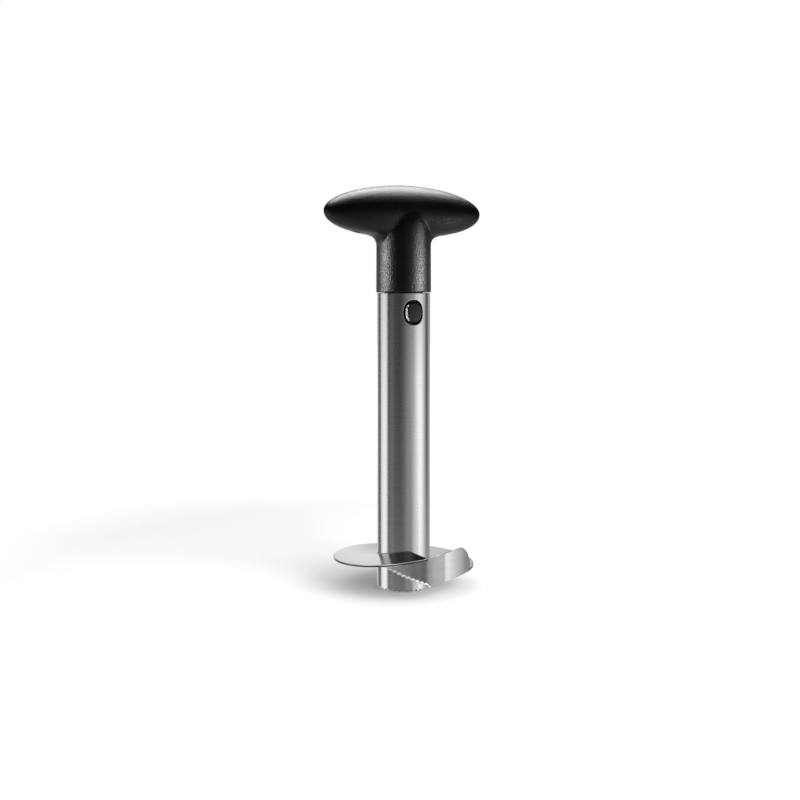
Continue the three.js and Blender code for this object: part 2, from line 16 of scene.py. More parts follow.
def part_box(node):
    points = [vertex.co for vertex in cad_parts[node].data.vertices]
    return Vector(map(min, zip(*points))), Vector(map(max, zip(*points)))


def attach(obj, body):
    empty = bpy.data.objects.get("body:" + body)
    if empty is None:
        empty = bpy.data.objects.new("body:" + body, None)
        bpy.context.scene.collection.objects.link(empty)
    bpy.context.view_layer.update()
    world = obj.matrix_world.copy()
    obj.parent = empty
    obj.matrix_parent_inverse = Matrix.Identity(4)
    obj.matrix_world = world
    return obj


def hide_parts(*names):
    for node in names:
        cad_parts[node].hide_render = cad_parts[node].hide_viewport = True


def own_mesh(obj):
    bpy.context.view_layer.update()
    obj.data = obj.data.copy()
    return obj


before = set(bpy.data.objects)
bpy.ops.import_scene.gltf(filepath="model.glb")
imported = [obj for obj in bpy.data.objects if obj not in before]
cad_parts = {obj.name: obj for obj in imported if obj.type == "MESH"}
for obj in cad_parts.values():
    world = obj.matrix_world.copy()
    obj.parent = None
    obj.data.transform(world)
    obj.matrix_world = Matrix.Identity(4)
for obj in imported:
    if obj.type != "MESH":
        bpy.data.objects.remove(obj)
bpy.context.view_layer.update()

MM = 0.001
TURN = 2 * pi
# Share of a rounded edge's radius that its middle point stands in from the corner
EDGE_MIDDLE = 0.29

# Core tube
TUBE_RADIUS = 16.0
BORE_RADIUS = 15.0
TUBE_HEIGHT = 178.1
TUBE_EDGE = 0.22
TUBE_TEETH = 36
TOOTH_DEPTH = 1.3
TOOTH_TIP_SHARE = 0.2
TOOTH_EDGE = 0.09
PLAIN_START = 3.0
WINDOW_HALF_WIDTH = 6.2
WINDOW_HALF_HEIGHT = 7.3
BUTTON_Z = 166.55
OVAL_POWER = 2.3

# The tube's mesh: a column for each degree, and a patch of columns and rows round each window
COLUMNS = 360
PATCH_COLUMNS = 60
FIRST_PATCH_ROW = 4
PATCH_STARTS = (240, 60)
PATCH_ROWS = 26
PATCH_HALF = 9.3

# Blade
BLADE_RADIUS = 42.6
SHEET = 1.2
LEAD_BEARING = -52.5
SWEEP = 319.0
END_SKEW = 4.5
LOW_HEIGHT = 14.3
RISE = 12.1
RIM_CLIMB = [(0, 0), (0.3, 0.04), (0.53, 0.28), (0.74, 0.43), (0.89, 0.7), (1, 1)]
HUB_CLIMB = [(0, 0), (0.3, 0.09), (0.53, 0.36), (0.71, 0.52), (0.89, 0.75), (1, 0.85)]
BLADE_STEPS = 330
BLADE_RADII = (16.03, 16.6, 19, 23, 28, 33, 37.5, 41, 41.9)
RIM_ROUNDING = 0.3
GRIND_ANGLE = 4.2
GRIND_DEPTH = 0.85

# Rim cutter, with angles counted from the blade's high end
BAND_THICKNESS = 1.0
BAND_START = -34.0
BAND_NOSE = 1.0
BAND_CREST = 34.0
BAND_OVERLAP = 9.5
NOSE_HEIGHT = 9.4
NOSE_BOW = 0.85
CREST_RISE = 2.9
BAND_TEETH = 10
BAND_TOOTH_DEPTH = 1.1
BAND_GRIND_HEIGHT = 1.5
BAND_GRIND_DEPTH = 0.62
FALL_POWER = 1.45
MOUTH = 360 - SWEEP

# Grip
STEM_RADIUS = 16.4
STEM_FLARE = 0.13
STEM_FOOT = 178.4
STEM_ROUNDING = 0.6
EQUATOR = 226.4
FILLET_RADIUS = 6.5
FILLET_RISE = 0.9
BAR_HALF_LENGTH = 50.0
BAR_HALF_WIDTH = 15.0
BAR_BOTTOM = 15.2
BAR_TOP = 15.84
PLAN_POWER = 2.2
UNDERSIDE_POWER = 2.2
DOME_POWER = 1.9
FILLET_FOOT = EQUATOR - BAR_BOTTOM + FILLET_RISE - FILLET_RADIUS
FILLET_END = 68
BELLY_SHARE = 0.9
SEAM = 0.02
SEAM_LIP = 0.03
GRIP_STEPS = 288
TIP_CROWDING = 0.5

# The stem's crown, which runs up into the bar's belly in front and behind
CROWN_FADE = 3.0
CROWN_FADE_POWER = 7
CROWN_BLEND = 1.1

# Inside the grip
GRIP_WALL = 3.0
SCREW_REACH = 30.0
SCREW_BOSS_RADIUS = 4.6
SCREW_HEAD_HEIGHT = 2.2
SCREW_HEAD_HOLE = 3.0
SCREW_PILOT = 1.8
BOLT_HOLE = 2.9
WASHER_SEAT = (5.9, 214.2)
SOCKET_ACROSS_FLATS = 20.6
SOCKET_TOP = 204.7
SEAT_GAP = 0.3

# Latch
SPIGOT_RADIUS = 14.8
SPIGOT_FOOT = 149.4
NECK_ACROSS_FLATS = 20
NUT_ACROSS_FLATS = 8.6
CAVITY_HALVES = (7.2, 11.2)
PLUG_THICKNESS = 3.0
PLUG_BLOCK_HALVES = (6.9, 10.9)
DIVIDER_HALVES = (6.9, 1)
PLUG_SCREW_REACH = 11
PLUG_SCREW_HEAD_HOLE = 2.2
PLUG_SCREW_PILOT = 1.3
BUTTON_HALF_WIDTH = 5.8
BUTTON_HALF_HEIGHT = 6.9
BUTTON_FACE = 17.3
BUTTON_CROWN = 0.16
BUTTON_BACK = 9.2
BUTTON_MARGIN = 0.7
BUTTON_SLANT = 0.5
BUTTON_SLANT_FOOT = 15.6
BUTTON_ROUNDING = 0.7
FLANGE_HALVES = (6.9, 8)
STUB_RADIUS = 1.8
SPRING_TURNS = 5
SPRING_RADIUS = 2.4
SPRING_WIRE = 0.3
SPRING_ENDS = (1.32, 8.56)


def solid(name, points, faces):
    """A mesh object from points in millimetres, with outward faces."""
    mesh = bpy.data.meshes.new(name)
    mesh.from_pydata([tuple(MM * float(c) for c in p) for p in points], [], faces)
    bm = bmesh.new()
    bm.from_mesh(mesh)
    bmesh.ops.delete(bm, geom=[v for v in bm.verts if not v.link_faces], context="VERTS")
    bmesh.ops.recalc_face_normals(bm, faces=bm.faces)
    bm.to_mesh(mesh)
    bm.free()
    body = bpy.data.objects.new(name, mesh)
    bpy.context.scene.collection.objects.link(body)
    return body


def finish_piece(piece, body, material, replaced=(), smooth_angle=40):
    """Gives a mesh its material and smooth shading, and lets it ride on a body."""
    mesh = piece.data
    mesh.materials.clear()
    mesh.materials.append(material)
    mesh.polygons.foreach_set("use_smooth", [True] * len(mesh.polygons))
    mesh.set_sharp_from_angle(angle=radians(smooth_angle))
    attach(piece, body)
    if replaced:
        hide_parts(*replaced)
    return piece


def combine(target, other, operation):
    """Cuts or joins target with other, which is used up."""
    modifier = target.modifiers.new("combine", "BOOLEAN")
    modifier.operation = operation
    modifier.solver = "EXACT"
    modifier.object = other
    graph = bpy.context.evaluated_depsgraph_get()
    mesh = bpy.data.meshes.new_from_object(target.evaluated_get(graph))
    target.modifiers.clear()
    target.data = mesh
    bpy.data.objects.remove(other)


def cut(target, outline, low, high, axis="z"):
    """Cuts a straight hole with an outline out of target."""
    combine(target, solid("hole", *prism(outline, low, high, axis)), "DIFFERENCE")


def join(target, outline, low, high, axis="z"):
    """Joins a straight bar with an outline to target."""
    combine(target, solid("bar", *prism(outline, low, high, axis)), "UNION")


def between(first, second):
    """Faces between two rings of point numbers."""
    return list(zip(first, first[1:] + first[:1], second[1:] + second[:1], second))


def skin(rings, caps=True):
    """Points and faces of a surface through rings of equally many points."""
    count = len(rings[0])
    numbers = [list(range(k * count, (k + 1) * count)) for k in range(len(rings))]
    faces = [face for a, b in zip(numbers, numbers[1:]) for face in between(a, b)]
    if caps:
        faces += [numbers[0][::-1], numbers[-1]]
    return [p for ring in rings for p in ring], faces


def prism(outline, low, high, axis="z"):
    """A closed bar with an outline of pairs, along Z or along Y."""
    ends = sorted((low, high))
    if axis == "z":
        return skin([[(a, b, end) for a, b in outline] for end in ends])
    return skin([[(a, end, b) for a, b in outline] for end in ends])


def lathe(profile, count=180):
    """A closed body turned round Z, through pairs of radius and height."""
    return skin([[(x, y, z) for x, y in circle(radius, count)] for radius, z in profile])


def polar(bearing, radius, height):
    a = radians(bearing)
    return (radius * cos(a), radius * sin(a), height)


def circle(radius, count, x=0.0, y=0.0, start=0.0):
    angles = [start + TURN * i / count for i in range(count)]
    return [(x + radius * cos(a), y + radius * sin(a)) for a in angles]


def hexagon(across_flats):
    return circle(across_flats / 2 / cos(pi / 6), 6, start=pi / 2)


def rectangle(half_width, half_height, middle=0.0):
    low, high = middle - half_height, middle + half_height
    return [(-half_width, low), (half_width, low), (half_width, high), (-half_width, high)]


def oval(half_width, half_height, angles, middle=0.0):
    """The outline of a button or its window: a circle drawn out in both directions and filled a little."""
    points = []
    for a in angles:
        c, s = cos(a), sin(a)
        x = copysign(abs(c) ** (2 / OVAL_POWER), c) * half_width
        z = copysign(abs(s) ** (2 / OVAL_POWER), s) * half_height
        points.append((x, z + middle))
    return points


def quarter(steps):
    """The angles of a quarter turn, from 0 on."""
    return [pi / 2 * k / steps for k in range(steps + 1)]


def wire_ring(centre, radius, first, second, sides=10):
    """A ring of points round a wire, in the plane of two directions."""
    angles = [TURN * i / sides for i in range(sides)]
    return [tuple(centre + radius * (cos(a) * first + sin(a) * second)) for a in angles]


def fade(value, low, high):
    """Rises smoothly from 0 at low to 1 at high."""
    t = min(1.0, max(0.0, (value - low) / (high - low)))
    return t * t * (3 - 2 * t)


class Nodes:
    """Short calls for building the node tree of a material or a world."""

    def __init__(self, owner):
        self.owner = owner
        owner.use_nodes = True
        self.tree = owner.node_tree

    def give(self, socket, value):
        """Sets an input to a number or colour, or links another node's output to it."""
        if isinstance(value, bpy.types.NodeSocket):
            self.tree.links.new(value, socket)
        else:
            socket.default_value = value

    def add(self, kind, inputs=None, **settings):
        node = self.tree.nodes.new("ShaderNode" + kind)
        for key, value in settings.items():
            setattr(node, key, value)
        for key, value in (inputs or {}).items():
            self.give(node.inputs[key], value)
        return node

    def surface(self, **values):
        """Inputs of the Principled shader, with underscores for the spaces in their names."""
        for key, value in values.items():
            self.give(self.tree.nodes["Principled BSDF"].inputs[key.replace("_", " ")], value)

    def only_show(self, shader):
        """Makes a shader the material's only surface."""
        nodes = self.tree.nodes
        nodes.remove(nodes["Principled BSDF"])
        self.give(nodes["Material Output"].inputs["Surface"], shader.outputs[0])

    def position(self):
        return self.add("TexCoord").outputs["Object"]

    def place(self, scale):
        """Object coordinates with their own scale on each axis."""
        return self.add("Mapping", {"Vector": self.position(), "Scale": scale}).outputs["Vector"]

    def noise(self, vector, scale, detail=3.0, roughness=0.5):
        inputs = {"Vector": vector, "Scale": scale, "Detail": detail, "Roughness": roughness}
        return self.add("TexNoise", inputs).outputs["Fac"]

    def remap(self, value, low, high, to_low, to_high):
        inputs = {"Value": value, "From Min": low, "From Max": high, "To Min": to_low, "To Max": to_high}
        return self.add("MapRange", inputs).outputs["Result"]

    def math(self, operation, first, second):
        return self.add("Math", {0: first, 1: second}, operation=operation).outputs[0]

    def length(self, vector):
        return self.add("VectorMath", {0: vector}, operation="LENGTH").outputs["Value"]

    def weigh(self, first, second, share):
        """A mean of two values, with the second one's share."""
        first = self.math("MULTIPLY", first, 1 - share)
        return self.math("ADD", first, self.math("MULTIPLY", second, share))

    def clouded(self, value, cloud, swing):
        """A value that a cloud pushes up and down."""
        return self.math("ADD", value, self.remap(cloud, 0.3, 0.7, -swing, swing))

    def blend(self, factor, first, second):
        colours = [(*c, 1) if isinstance(c, tuple) else c for c in (first, second)]
        return self.add("Mix", {0: factor, 6: colours[0], 7: colours[1]}, data_type="RGBA").outputs[2]

    def bump(self, height, strength, distance):
        inputs = {"Height": height, "Strength": strength, "Distance": distance}
        return self.add("Bump", inputs).outputs["Normal"]

    def level(self):
        """The brightness that a studio sheet carries at each of its points."""
        return self.add("Attribute", attribute_name="level").outputs["Fac"]

    def seen(self):
        """1 for the rays that see or mirror a thing, and 0 for the rays that carry its light."""
        path = self.add("LightPath").outputs
        shown = self.math("MAXIMUM", path["Is Camera Ray"], path["Is Glossy Ray"])
        return self.math("MAXIMUM", shown, path["Is Transmission Ray"])


def new_material(name):
    return Nodes(bpy.data.materials.new(name))


def tube_steel():
    """Steel brushed round the tube, with hair lines that run round it and faint long blotches."""
    n = new_material("tube_steel")
    hair = n.noise(n.place((14, 14, 5200)), 1.0, 4, 0.6)
    soft = n.noise(n.place((30, 30, 420)), 1.0)
    cloud = n.noise(n.place((55, 55, 22)), 1.0)
    mixed = n.weigh(hair, soft, 0.15)
    n.surface(
        Base_Color=n.blend(n.remap(mixed, 0.3, 0.7, 0, 1), (0.575, 0.575, 0.58), (0.63, 0.63, 0.635)),
        Roughness=n.clouded(n.remap(hair, 0.25, 0.75, 0.235, 0.3), cloud, 0.02),
        Tangent=n.add("Tangent", direction_type="RADIAL", axis="Z").outputs[0],
        Normal=n.bump(mixed, 0.04, 0.00003),
        Metallic=1.0,
        Anisotropic=0.85,
        Anisotropic_Rotation=0.25,
    )
    return n.owner


def blade_steel(name, cut_edge_and_painted_shade):
    """Satin sheet steel with grinding lines round the axis. At its rim, the cut edge is rougher and carries
    painted shade: its side and underside are painted nearly black.
    """
    n = new_material(name)
    coordinates = n.add("TexCoord").outputs
    height = n.add("SeparateXYZ", {0: coordinates["Object"]}).outputs["Z"]
    flat = n.add("VectorMath", {0: coordinates["Object"], 1: (1, 1, 0)}, operation="MULTIPLY").outputs[0]
    reach = n.length(flat)
    ring = {0: n.math("MULTIPLY", reach, 3800.0), 1: n.math("MULTIPLY", height, 2600.0)}
    lines = n.noise(n.add("CombineXYZ", ring).outputs[0], 1.0, 3, 0.6)
    cross = n.noise(n.place((420, 420, 420)), 1.0, 4, 0.6)
    cloud = n.noise(n.place((60, 60, 60)), 1.0)
    mixed = n.weigh(lines, cross, 0.4)
    colour = n.blend(n.remap(mixed, 0.3, 0.7, 0, 1), (0.435, 0.43, 0.45), (0.5, 0.495, 0.515))
    rough = n.clouded(n.remap(mixed, 0.25, 0.75, 0.12, 0.22), cloud, 0.02)
    # Painted shade on a rougher cut edge: the rim's faces that turn sideways or down are painted nearly
    # black
    if cut_edge_and_painted_shade:
        facing = n.add("SeparateXYZ", {0: coordinates["Normal"]}).outputs["Z"]
        rim = n.remap(reach, (BLADE_RADIUS - 0.4) * MM, (BLADE_RADIUS - 0.3) * MM, 0, 1)
        rim = n.math("MULTIPLY", rim, n.remap(facing, 0.3, 0.6, 1, 0))
        colour = n.blend(rim, colour, (0.1, 0.098, 0.1))
        rough = n.math("ADD", rough, n.math("MULTIPLY", rim, 0.15))
    n.surface(Base_Color=colour, Roughness=rough, Normal=n.bump(mixed, 0.06, 0.00003), Metallic=1.0)
    return n.owner


def plain_steel(name, dark, light, rough_low, rough_high, grain):
    n = new_material(name)
    fine = n.noise(n.place((grain, grain, grain)), 1.0, 5, 0.6)
    cloud = n.noise(n.place((300, 300, 300)), 1.0)
    n.surface(
        Base_Color=n.blend(n.remap(cloud, 0.3, 0.7, 0, 1), dark, light),
        Roughness=n.remap(fine, 0.3, 0.7, rough_low, rough_high),
        Normal=n.bump(fine, 0.12, 0.00004),
        Metallic=1.0,
    )
    return n.owner


def black_plastic(name, base, worn, rough_low, rough_high, grain, depth, gloss=0.5):
    """Moulded plastic: a fine spark-eroded grain, slow changes of gloss and a little wear."""
    n = new_material(name)
    place = n.place((1, 1, 1))
    fine = n.noise(place, grain, 2)
    cells = n.add("TexVoronoi", {"Vector": place, "Scale": grain * 0.8}).outputs["Distance"]
    cloud = n.noise(place, 45)
    n.surface(
        Base_Color=n.blend(n.remap(cloud, 0.35, 0.75, 0, 1), base, worn),
        Roughness=n.clouded(n.remap(fine, 0.3, 0.7, rough_low, rough_high), cloud, 0.03),
        Normal=n.bump(n.weigh(fine, cells, 0.35), 0.8, depth),
        Metallic=0.0,
        IOR=1.5,
        Specular_IOR_Level=gloss,
    )
    return n.owner


TUBE = tube_steel()
BLADE = blade_steel("ring_blade_steel", True)
CUTTER = blade_steel("rim_cutter_steel", False)
FASTENER = plain_steel("fastener_steel", (0.5, 0.51, 0.53), (0.6, 0.61, 0.62), 0.3, 0.45, 3000)
SPRING = plain_steel("spring_steel", (0.48, 0.48, 0.49), (0.6, 0.6, 0.61), 0.2, 0.32, 4000)
WELD = plain_steel("weld_steel", (0.42, 0.41, 0.42), (0.58, 0.57, 0.58), 0.3, 0.5, 2600)
BLACK_STEEL = plain_steel("blackened_steel", (0.03, 0.03, 0.032), (0.05, 0.05, 0.052), 0.35, 0.5, 3000)
GRIP = black_plastic(
    "grip_plastic", (0.0008, 0.0008, 0.0009), (0.0015, 0.0015, 0.0016), 0.31, 0.39, 1700, 0.00032, 0.3
)
BUTTON = black_plastic(
    "button_plastic", (0.0015, 0.0015, 0.0016), (0.003, 0.003, 0.0031), 0.18, 0.26, 2200, 0.00014
)
INNER = black_plastic(
    "inner_plastic", (0.01, 0.01, 0.0104), (0.016, 0.016, 0.0164), 0.3, 0.4, 1500, 0.00003
)


def tooth_lift(column):
    """Height of the tube's mouth at a column: flat tips with round valleys between them."""
    share = (column * TUBE_TEETH / COLUMNS) % 1 - TOOTH_TIP_SHARE
    return TOOTH_DEPTH * sin(pi * max(0.0, share) / (1 - TOOTH_TIP_SHARE))


def tube_rows(radius, inward):
    """Radius and height at each column of the tube's rows, from its mouth to its top."""
    lift = [tooth_lift(c) for c in range(COLUMNS)]
    teeth = ((inward * TOOTH_EDGE, 0), (0, TOOTH_EDGE), (0, 3 * TOOTH_EDGE))
    rows = [[(radius + step, z + rise) for z in lift] for step, rise in teeth]
    patch = [BUTTON_Z - PATCH_HALF + 2 * PATCH_HALF * i / PATCH_ROWS for i in range(PATCH_ROWS + 1)]
    plain = [(0, z) for z in (PLAIN_START, *patch, TUBE_HEIGHT - 3 * TUBE_EDGE, TUBE_HEIGHT - TUBE_EDGE)]
    plain += [(EDGE_MIDDLE * TUBE_EDGE, TUBE_HEIGHT - EDGE_MIDDLE * TUBE_EDGE), (TUBE_EDGE, TUBE_HEIGHT)]
    return rows + [[(radius + inward * sink, z)] * COLUMNS for sink, z in plain]


def make_tube():
    points, faces, grids, lips = [], [], {}, {}

    def put(point):
        points.append(point)
        return len(points) - 1

    for side, (radius, inward) in {"outer": (TUBE_RADIUS, -1), "inner": (BORE_RADIUS, 1)}.items():
        grid = [[put(polar(c, *row[c])) for c in range(COLUMNS)] for row in tube_rows(radius, inward)]
        grids[side] = grid
        for r in range(len(grid) - 1):
            in_patch = FIRST_PATCH_ROW <= r < FIRST_PATCH_ROW + PATCH_ROWS
            for c, face in enumerate(between(grid[r], grid[r + 1])):
                if not (in_patch and any(start <= c < start + PATCH_COLUMNS for start in PATCH_STARTS)):
                    faces.append(face)
        for start in PATCH_STARTS:
            lips[side, start] = window_rings(put, faces, grid, start, radius, inward)
    for row in (0, -1):
        faces += between(grids["outer"][row], grids["inner"][row])
    for start in PATCH_STARTS:
        faces += between(lips["outer", start], lips["inner", start])
    tube = solid("core_tube_skin", points, faces)
    finish_piece(tube, "cutter", TUBE, ["core_tube"], 50)


def window_rings(put, faces, grid, start, radius, inward):
    """Rings of faces from a patch's border in to a window, with a rounded lip. Returns the last ring."""
    end, last_row = start + PATCH_COLUMNS, FIRST_PATCH_ROW + PATCH_ROWS
    border = [(FIRST_PATCH_ROW, start + i) for i in range(PATCH_COLUMNS)]
    border += [(FIRST_PATCH_ROW + i, end) for i in range(PATCH_ROWS)]
    border += [(last_row, end - i) for i in range(PATCH_COLUMNS)]
    border += [(last_row - i, start) for i in range(PATCH_ROWS)]
    centre, middle_row = start + PATCH_COLUMNS / 2, FIRST_PATCH_ROW + PATCH_ROWS / 2
    shares = [((c - centre) / (PATCH_COLUMNS / 2), (r - middle_row) / (PATCH_ROWS / 2)) for r, c in border]
    angles = [atan2(up, across) for across, up in shares]
    spots = [(across * PATCH_COLUMNS / 2, BUTTON_Z + up * PATCH_HALF) for across, up in shares]

    def outline(grow):
        found = oval(WINDOW_HALF_WIDTH + grow, WINDOW_HALF_HEIGHT + grow, angles, BUTTON_Z)
        return [(degrees(asin(x / radius)), z) for x, z in found]

    rings = [[grid[r][c % COLUMNS] for r, c in border]]
    lip = outline(3 * TUBE_EDGE)
    for share in (0.34, 0.67):
        ring = [(u0 + (u1 - u0) * share, z0 + (z1 - z0) * share) for (u0, z0), (u1, z1) in zip(spots, lip)]
        rings.append([put(polar(centre + u, radius, z)) for u, z in ring])
    middle = EDGE_MIDDLE * TUBE_EDGE
    for grow, sink in ((3 * TUBE_EDGE, 0), (TUBE_EDGE, 0), (middle, middle), (0, TUBE_EDGE)):
        rings.append([put(polar(centre + u, radius + inward * sink, z)) for u, z in outline(grow)])
    for a, b in zip(rings, rings[1:]):
        faces += between(a, b)
    return rings[-1]


def climb_table(stops):
    """The solids' own smooth curve through the stops, as matching rows of sweep share and climb share."""
    p = np.array(stops, float)
    last = len(p) - 1
    rows = []
    for i in range(401):
        spot = last * i / 400
        k = min(int(spot), last)
        t = spot - k
        p0, p1 = p[max(k - 1, 0)], p[k]
        p2, p3 = p[min(k + 1, last)], p[min(k + 2, last)]
        v0, v1 = (p2 - p0) / 2, (p3 - p1) / 2
        cubic, square = 2 * p1 - 2 * p2 + v0 + v1, -3 * p1 + 3 * p2 - 2 * v0 - v1
        rows.append(cubic * t**3 + square * t**2 + v0 * t + p1)
    return np.array(rows).T


RIM_TABLE = climb_table(RIM_CLIMB)
HUB_TABLE = climb_table(HUB_CLIMB)


def rim_at(share):
    return LOW_HEIGHT + RISE * float(np.interp(share, *RIM_TABLE))


def hub_at(share):
    return LOW_HEIGHT + RISE * float(np.interp(share, *HUB_TABLE))


def seam_rounding(angle):
    """How far the rim's lower edge is rounded: hardly at all where the cutter is ground flush with it."""
    return 0.02 + 0.26 * (1 - fade(angle, -25, -19))


def blade_section(share, grind):
    """One closed loop of points across the sheet, from hub to rim and back."""
    rim_bearing = LEAD_BEARING + share * SWEEP
    hub_bearing = rim_bearing - share * END_SKEW
    hub, rim = hub_at(share), rim_at(share)
    low, high = seam_rounding(share * SWEEP - SWEEP), RIM_ROUNDING

    def at(radius, drop):
        part = (radius - TUBE_RADIUS) / (BLADE_RADIUS - TUBE_RADIUS)
        bearing = hub_bearing + (rim_bearing - hub_bearing) * part
        return polar(bearing, radius, hub + (rim - hub) * part - drop)

    loop = [at(r, grind) for r in BLADE_RADII]
    for a in quarter(4):
        drop = grind + high * (1 - cos(a)) * (1 - grind)
        loop.append(at(BLADE_RADIUS - high + high * sin(a), drop))
    for a in quarter(3):
        loop.append(at(BLADE_RADIUS - low + low * cos(a), SHEET - low + low * sin(a)))
    return loop + [at(r, SHEET) for r in (41.4, *BLADE_RADII[6::-1])]


def make_blade():
    ground = GRIND_ANGLE / SWEEP
    plain = ground * 1.04
    sections = [(ground * i / 6, GRIND_DEPTH * (1 - i / 6)) for i in range(7)]
    sections += [(plain + (1 - plain) * i / BLADE_STEPS, 0.0) for i in range(BLADE_STEPS + 1)]
    sections.insert(-1, (1 - 0.0004, 0.0))
    blade = solid("ring_blade_skin", *skin([blade_section(share, grind) for share, grind in sections]))
    return finish_piece(blade, "cutter", BLADE, ["ring_blade"], 40)


def band_head(angle):
    if angle <= 0:
        return rim_at((SWEEP + angle) / SWEEP) - SHEET
    start = rim_at(1.0)
    if angle <= BAND_CREST:
        return start + CREST_RISE * sin(angle / BAND_CREST * pi / 2)
    foot = LOW_HEIGHT + SHEET
    fall = (angle - BAND_CREST) / (MOUTH + BAND_OVERLAP - BAND_CREST)
    return foot + (start + CREST_RISE - foot) * (1 - min(1, fall) ** FALL_POWER) ** (1 / FALL_POWER)


def band_foot(angle):
    root = band_head(BAND_START) - 0.3
    if angle < BAND_NOSE:
        return root + (NOSE_HEIGHT - root) * ((angle - BAND_START) / (BAND_NOSE - BAND_START)) ** NOSE_BOW
    if angle < MOUTH:
        share = (angle - BAND_NOSE) / (MOUTH - BAND_NOSE)
        return NOSE_HEIGHT + (LOW_HEIGHT - SHEET - NOSE_HEIGHT) * sin(share * pi / 2)
    return LOW_HEIGHT


def band_section(angle, notch):
    """One closed loop across the upright strip: its foot is ground from outside, its head is rounded."""
    inner, outer = BLADE_RADIUS - BAND_THICKNESS, BLADE_RADIUS
    head = band_head(angle)
    foot = min(band_foot(angle) + notch, head - 0.25)
    tall = head - foot
    ground = min(BAND_GRIND_HEIGHT, 0.45 * tall) * fade(-angle, -BAND_NOSE - 3, -BAND_NOSE + 1)
    tip = outer - BAND_GRIND_DEPTH * (ground / BAND_GRIND_HEIGHT)
    edge = min(0.12, 0.1 * tall)
    top = seam_rounding(angle) if angle <= 0 else 0.28 * fade(angle, 0, 2) + 0.02
    top = min(top, 0.2 * tall)
    bevel = foot + edge + max(ground, 0.05)
    loop = [(inner + edge, foot), (tip - edge, foot), (tip, foot + edge)]
    loop += [(outer, bevel), (outer, bevel + edge + 0.02), (outer, head - top * 1.3)]
    loop += [(outer - top + top * cos(a), head - top + top * sin(a)) for a in quarter(3)]
    loop += [(inner + top - top * sin(a), head - top + top * cos(a)) for a in quarter(3)]
    loop += [(inner, head - top * 1.3), (inner, foot + edge * 1.6), (inner, foot + edge)]
    return [polar(LEAD_BEARING + SWEEP + angle, r, z) for r, z in loop]


def make_band():
    pitch = (BAND_NOSE - BAND_START) / BAND_TEETH
    spots = []
    for tooth in range(BAND_TEETH):
        for share in [k / 10 for k in range(10)]:
            notch = BAND_TOOTH_DEPTH * sin(pi * share) ** 0.85
            spots.append((BAND_START + (tooth + share) * pitch, notch))
    end = MOUTH + BAND_OVERLAP
    plain = [float(a) for a in np.arange(BAND_NOSE, end - 4, 0.5) if abs(a - MOUTH) > 0.3]
    plain += [MOUTH - 0.02, MOUTH + 0.02]
    plain += [end - 4 * (1 - i / 12) ** 1.7 - 0.01 for i in range(13)]
    spots = sorted(spots + [(a, 0.0) for a in plain])
    band = solid("rim_cutter_skin", *skin([band_section(angle, notch) for angle, notch in spots]))
    return finish_piece(band, "cutter", CUTTER, ["rim_cutter"], 38)


def bead(name, path, radius, wave):
    """A weld bead: a thin round rope along a path, with the small ripples of its pools."""
    path = [np.array(p) for p in path]
    rings = []
    for k, spot in enumerate(path):
        ahead = path[min(k + 1, len(path) - 1)] - path[max(k - 1, 0)]
        ahead = ahead / np.linalg.norm(ahead)
        side = np.cross(ahead, np.array((0.0, 0.0, 1.0)))
        side = side / np.linalg.norm(side)
        taper = min(1.0, (min(k, len(path) - 1 - k) + 0.6) / 5)
        ripple = 1 + 0.16 * sin(k * wave)
        rings.append(wire_ring(spot, radius * taper * ripple, side, np.cross(side, ahead)))
    finish_piece(solid(name, *skin(rings)), "cutter", WELD, (), 60)


def make_welds():
    for name, drop in (("hub_weld_upper", 0.0), ("hub_weld_lower", SHEET)):
        path = []
        for i in range(621):
            share = 0.012 + 0.978 * i / 620
            bearing = LEAD_BEARING + share * SWEEP - share * END_SKEW
            path.append(polar(bearing, TUBE_RADIUS + 0.05, hub_at(share) - drop))
        bead(name, path, 0.3, 1.35)
    end, inside = LEAD_BEARING + SWEEP, BLADE_RADIUS - BAND_THICKNESS - 0.05
    angles = [MOUTH + 0.6 + (BAND_OVERLAP - 2.0) * i / 40 for i in range(41)]
    bead("foot_weld", [polar(end + a, inside, LOW_HEIGHT + 0.02) for a in angles], 0.36, 1.5)
    angles = [-30 + 29 * i / 80 for i in range(81)]
    path = [polar(end + a, inside, rim_at((SWEEP + a) / SWEEP) - SHEET - 0.02) for a in angles]
    bead("rim_weld", path, 0.34, 1.4)


def outline_reach(bearing, half_length, half_width):
    across = abs(cos(bearing)) / half_length
    along = abs(sin(bearing)) / half_width
    return (across**PLAN_POWER + along**PLAN_POWER) ** (-1 / PLAN_POWER)


def loop_at(z, reach, steps=GRIP_STEPS):
    """A ring of points round the stem or the bar, closer together at the bar's two ends."""
    turns = [TURN * i / steps for i in range(steps)]
    bearings = [atan2(TIP_CROWDING * sin(t), cos(t)) for t in turns]
    return [(reach(b) * cos(b), reach(b) * sin(b), z) for b in bearings]


def bar_loop(z, scale=1.0, inset=0.0, steps=GRIP_STEPS):
    """A ring with the bar's outline, scaled or set in."""
    length, width = BAR_HALF_LENGTH - inset, BAR_HALF_WIDTH - inset
    return loop_at(z, lambda b: scale * outline_reach(b, length, width), steps)


def dome(angles, height, inset=0.0, steps=GRIP_STEPS):
    """Rings of a dome over the bar's widest line, or under it where the height is negative."""
    power = 2 / DOME_POWER
    return [bar_loop(EQUATOR + height * sin(a) ** power, cos(a) ** power, inset, steps) for a in angles]


